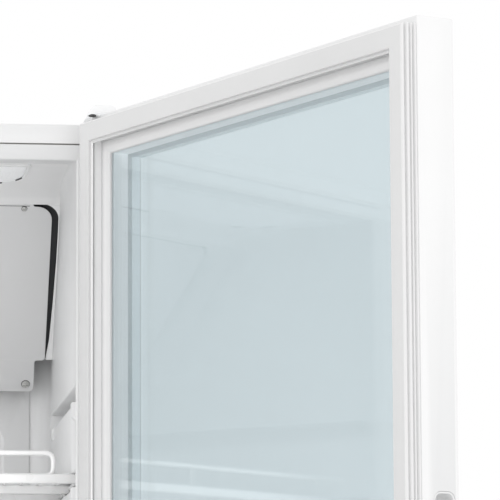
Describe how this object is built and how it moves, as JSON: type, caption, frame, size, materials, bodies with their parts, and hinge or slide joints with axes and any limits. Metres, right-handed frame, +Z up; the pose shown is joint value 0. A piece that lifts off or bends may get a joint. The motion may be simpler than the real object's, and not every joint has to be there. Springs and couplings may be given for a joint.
{
  "type": "reach in refrigerator",
  "caption": "White upright glass door refrigerator, its hinged door standing open on a lit liner with wire shelves, sloping evaporator cover and machine compartment below.",
  "frame": {"origin": "on the floor, at the centre of the footprint of the whole object with its door standing open", "axes": "+Z up, -Y out of the front of the cabinet towards the user, +X to the user's right, the hinge side"},
  "size_m": [0.8286, 1.028, 1.2705],
  "materials": {
    "white_steel": "gloss",
    "galvanised_sheet": "satin",
    "foam": "matte",
    "liner_plastic": "satin",
    "grey_plate": "satin",
    "aluminium_fins": "satin",
    "white_wire": "satin",
    "white_plastic": "satin",
    "black_plastic": "matte",
    "zinc_steel": "satin",
    "lamp_lens": "satin",
    "door_frame": "satin",
    "door_glass": "gloss",
    "gasket": "matte",
    "black_steel": "satin",
    "copper": "satin"
  },
  "bodies": {
    "cabinet": {"base_pan": "galvanised_sheet", "bottom_hinge_pin": "zinc_steel", "bottom_hinge_plate": "zinc_steel", "cabinet_back_panel": "galvanised_sheet", "cabinet_left_panel": "white_steel", "cabinet_right_panel": "white_steel", "cabinet_top_panel": "white_steel", "compartment_deck": "white_steel", "compressor": "black_steel", "condensate_pan": "black_plastic", "condenser_coil": "aluminium_fins", "condenser_fan_motor": "black_plastic", "control_box": "black_plastic", "cover_screw_left": "zinc_steel", "cover_screw_right": "zinc_steel", "discharge_pipe": "copper", "drain_tray": "white_plastic", "evaporator_air_baffle": "black_plastic", "evaporator_coil": "aluminium_fins", "evaporator_cover": "grey_plate", "evaporator_fan_guard": "white_wire", "evaporator_fan_motor": "black_plastic", "foot_front_left": "black_plastic", "foot_front_right": "black_plastic", "foot_rear_left": "black_plastic", "foot_rear_right": "black_plastic", "front_grille": "white_plastic", "inner_liner": "liner_plastic", "insulation_foam": "foam", "lamp_housing": "white_plastic", "lamp_led_strip": "white_plastic", "lamp_lens": "lamp_lens", "power_inlet": "black_plastic", "rear_duct_panel": "liner_plastic", "rear_grille": "galvanised_sheet", "top_hinge_cover": "white_plastic", "top_hinge_pin": "zinc_steel", "top_hinge_plate": "zinc_steel"},
    "door": {"door_hinge_stile": "door_frame", "door_free_stile": "door_frame", "door_top_rail": "door_frame", "door_bottom_rail": "door_frame", "glazing_bead": "door_frame", "inner_glass_pane": "door_glass", "outer_glass_pane": "door_glass", "glazing_spacer": "aluminium_fins", "door_gasket": "gasket", "door_grip_cup": "door_frame", "top_hinge_bush": "white_plastic", "bottom_hinge_bush": "white_plastic"},
    "upper_shelf": {"shelf_top": "white_wire", "shelf_top_guard": "white_wire"},
    "centre_shelf": {"shelf_middle": "white_wire", "shelf_middle_guard": "white_wire"},
    "lower_shelf": {"shelf_bottom": "white_wire", "shelf_bottom_guard": "white_wire"},
    "evaporator_fan": {"evaporator_fan_blade": "white_plastic"},
    "condenser_fan": {"condenser_fan_blade": "black_steel"},
    "thermostat_dial": {"thermostat_knob": "white_plastic"},
    "lamp_switch": {"lamp_switch_rocker": "white_plastic"}
  },
  "joints": [
    {"name": "door_swing", "type": "hinge", "parent": "cabinet", "child": "door", "pos_m": [0.15454, 0.01201, 0.7], "axis": [0, 0, 1], "range_deg": [-113.9, 11]},
    {"name": "upper_shelf_slide", "type": "slide", "parent": "cabinet", "child": "upper_shelf", "axis": [0, -1, 0], "range_m": [0, 0.045]},
    {"name": "centre_shelf_slide", "type": "slide", "parent": "cabinet", "child": "centre_shelf", "axis": [0, -1, 0], "range_m": [0, 0.045]},
    {"name": "lower_shelf_slide", "type": "slide", "parent": "cabinet", "child": "lower_shelf", "axis": [0, -1, 0], "range_m": [0, 0.045]},
    {"name": "evaporator_fan_spin", "type": "hinge", "parent": "cabinet", "child": "evaporator_fan", "pos_m": [-0.12426, 0.31985, 1.11141], "axis": [0, 0.7978, 0.6029], "continuous": true},
    {"name": "condenser_fan_spin", "type": "hinge", "parent": "cabinet", "child": "condenser_fan", "pos_m": [-0.01926, 0.18401, 0.1028], "axis": [0, 1, 0], "continuous": true},
    {"name": "thermostat_turn", "type": "hinge", "parent": "cabinet", "child": "thermostat_dial", "pos_m": [0.09974, 0.03351, 0.12], "axis": [0, -1, 0], "range_deg": [0, 270]},
    {"name": "lamp_switch_rock", "type": "hinge", "parent": "cabinet", "child": "lamp_switch", "pos_m": [0.05774, 0.03701, 0.12], "axis": [1, 0, 0], "range_deg": [-14, 0]}
  ]
}
